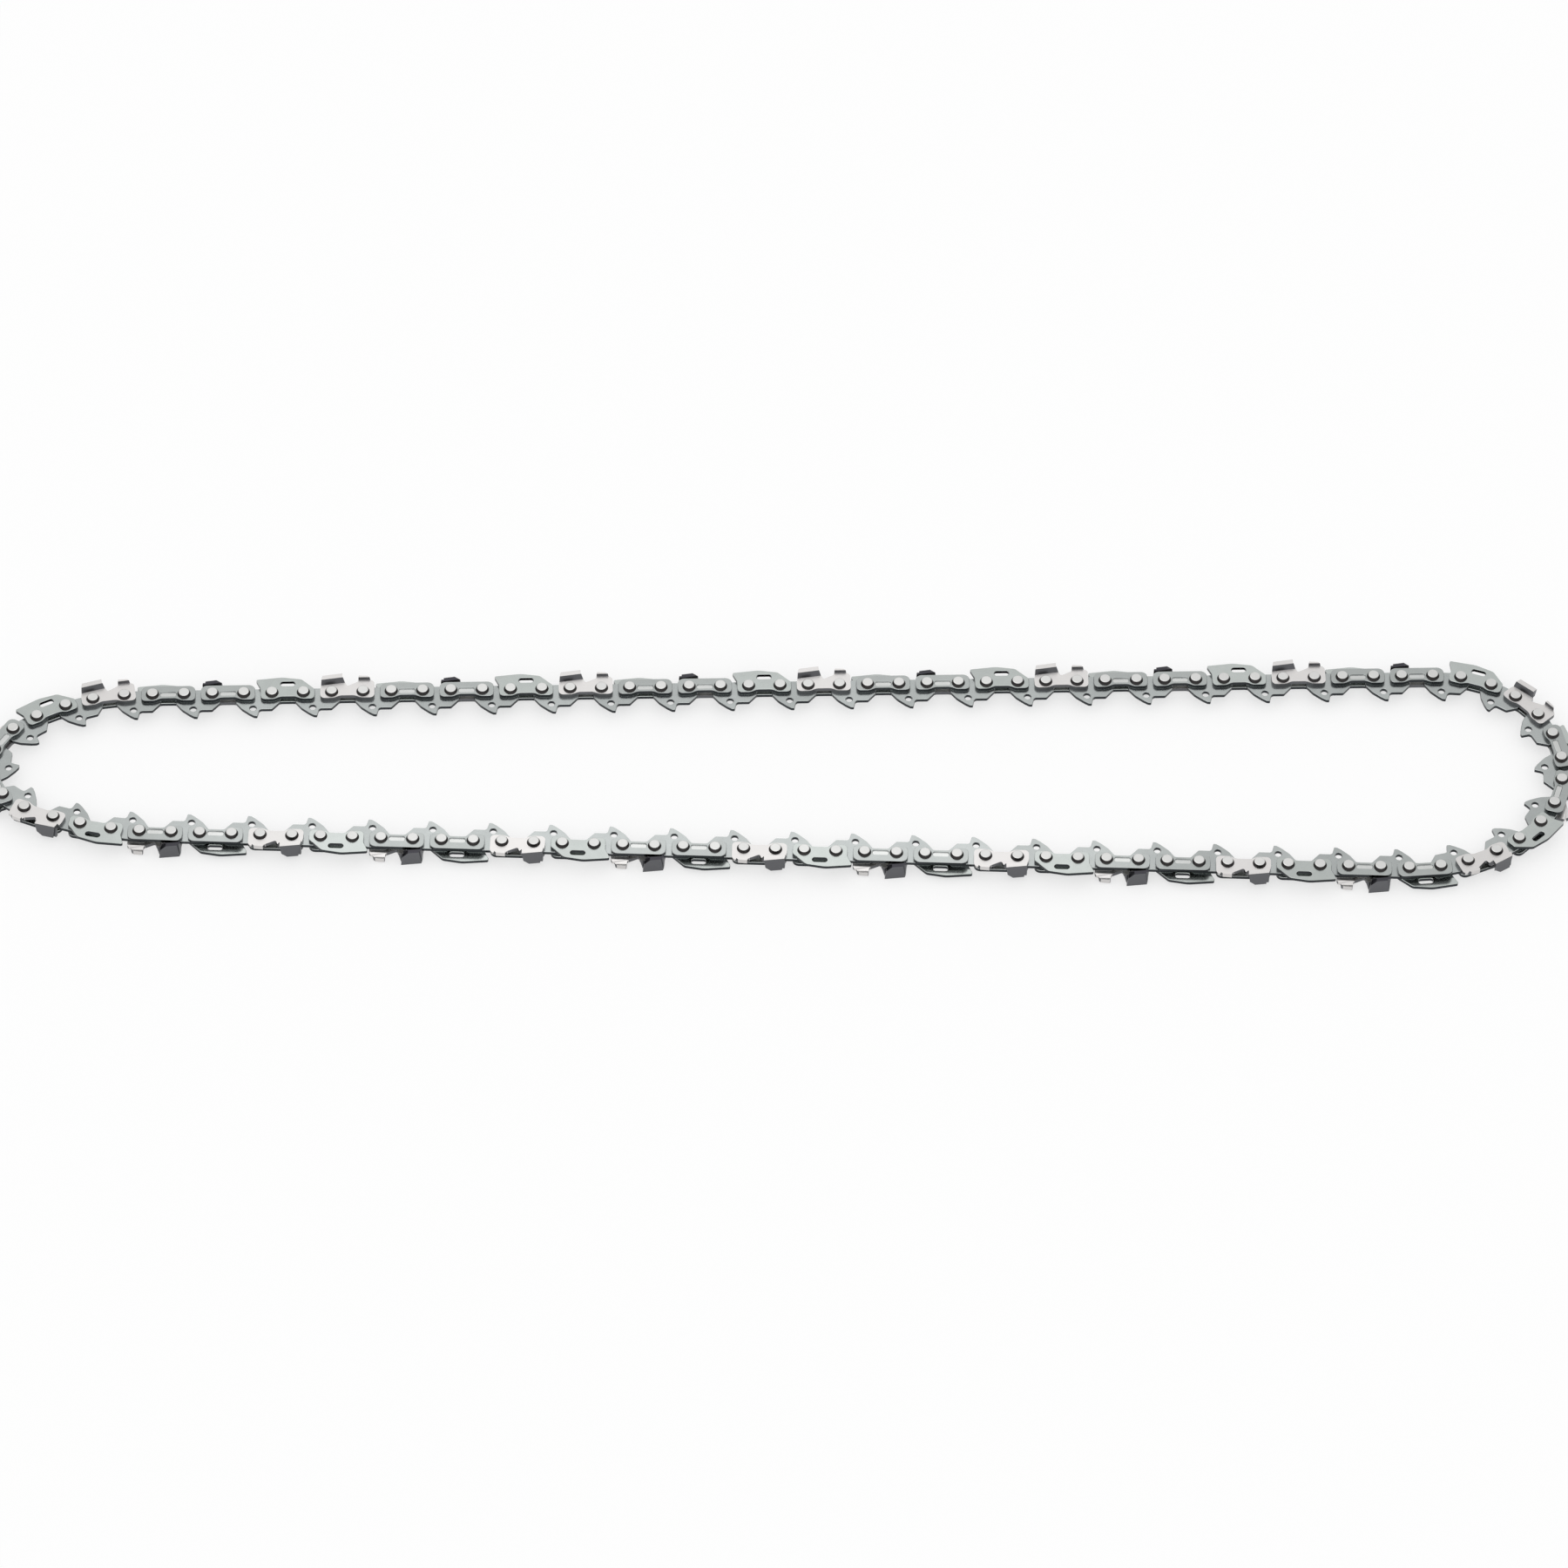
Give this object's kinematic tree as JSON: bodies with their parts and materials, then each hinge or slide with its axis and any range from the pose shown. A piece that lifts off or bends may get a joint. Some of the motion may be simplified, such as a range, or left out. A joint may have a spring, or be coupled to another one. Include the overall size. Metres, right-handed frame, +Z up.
{
  "type": "chainsaw chain loop",
  "caption": "Closed loop of low-profile saw chain lying on its side: chromed cutters alternate left and right between riveted straps, with drive tangs pointing inward.",
  "frame": {"origin": "middle of the loop's outline, on the surface that it lies on", "axes": "+X along the loop towards its wider bow, +Y across the loop, +Z up along the rivets"},
  "size_m": [0.4988, 0.0892, 0.0075],
  "materials": {
    "cutter_chrome": "bright plate",
    "link_steel": "satin, oiled"
  },
  "bodies": {
    "small_bow": {"left_cutter_01": "cutter_chrome", "left_cutter_02": "cutter_chrome", "left_cutter_14": "cutter_chrome", "right_cutter_01": "cutter_chrome", "right_cutter_14": "cutter_chrome", "small_bow_bumper_straps": "link_steel", "small_bow_drive_links": "link_steel", "small_bow_tie_straps": "link_steel"},
    "upper_run": {"left_cutter_03": "cutter_chrome", "left_cutter_04": "cutter_chrome", "left_cutter_05": "cutter_chrome", "left_cutter_06": "cutter_chrome", "left_cutter_07": "cutter_chrome", "right_cutter_02": "cutter_chrome", "right_cutter_03": "cutter_chrome", "right_cutter_04": "cutter_chrome", "right_cutter_05": "cutter_chrome", "right_cutter_06": "cutter_chrome", "upper_run_bumper_straps": "link_steel", "upper_run_drive_links": "link_steel", "upper_run_tie_straps": "link_steel"},
    "large_bow": {"large_bow_bumper_straps": "link_steel", "large_bow_drive_links": "link_steel", "large_bow_tie_straps": "link_steel", "left_cutter_08": "cutter_chrome", "right_cutter_07": "cutter_chrome"},
    "lower_run": {"left_cutter_09": "cutter_chrome", "left_cutter_10": "cutter_chrome", "left_cutter_11": "cutter_chrome", "left_cutter_12": "cutter_chrome", "left_cutter_13": "cutter_chrome", "lower_run_bumper_straps": "link_steel", "lower_run_drive_links": "link_steel", "lower_run_tie_straps": "link_steel", "right_cutter_08": "cutter_chrome", "right_cutter_09": "cutter_chrome", "right_cutter_10": "cutter_chrome", "right_cutter_11": "cutter_chrome", "right_cutter_12": "cutter_chrome", "right_cutter_13": "cutter_chrome"}
  },
  "joints": [
    {"name": "upper_run_pivot", "type": "hinge", "parent": "small_bow", "child": "upper_run", "pos_m": [-0.15821, 0.02812, 0.00375], "axis": [0, 0, 1], "range_deg": [-15, 15]},
    {"name": "lower_run_pivot", "type": "hinge", "parent": "small_bow", "child": "lower_run", "pos_m": [-0.15969, -0.02891, 0.00375], "axis": [0, 0, 1], "range_deg": [-15, 15]},
    {"name": "large_bow_pivot", "type": "hinge", "parent": "upper_run", "child": "large_bow", "pos_m": [0.23118, 0.03015, 0.00375], "axis": [0, 0, 1], "range_deg": [-15, 15]}
  ],
  "couplings": [
    {"joint": "lower_run_pivot", "follows": "upper_run_pivot", "ratio": 1},
    {"joint": "large_bow_pivot", "follows": "upper_run_pivot", "ratio": -1}
  ]
}
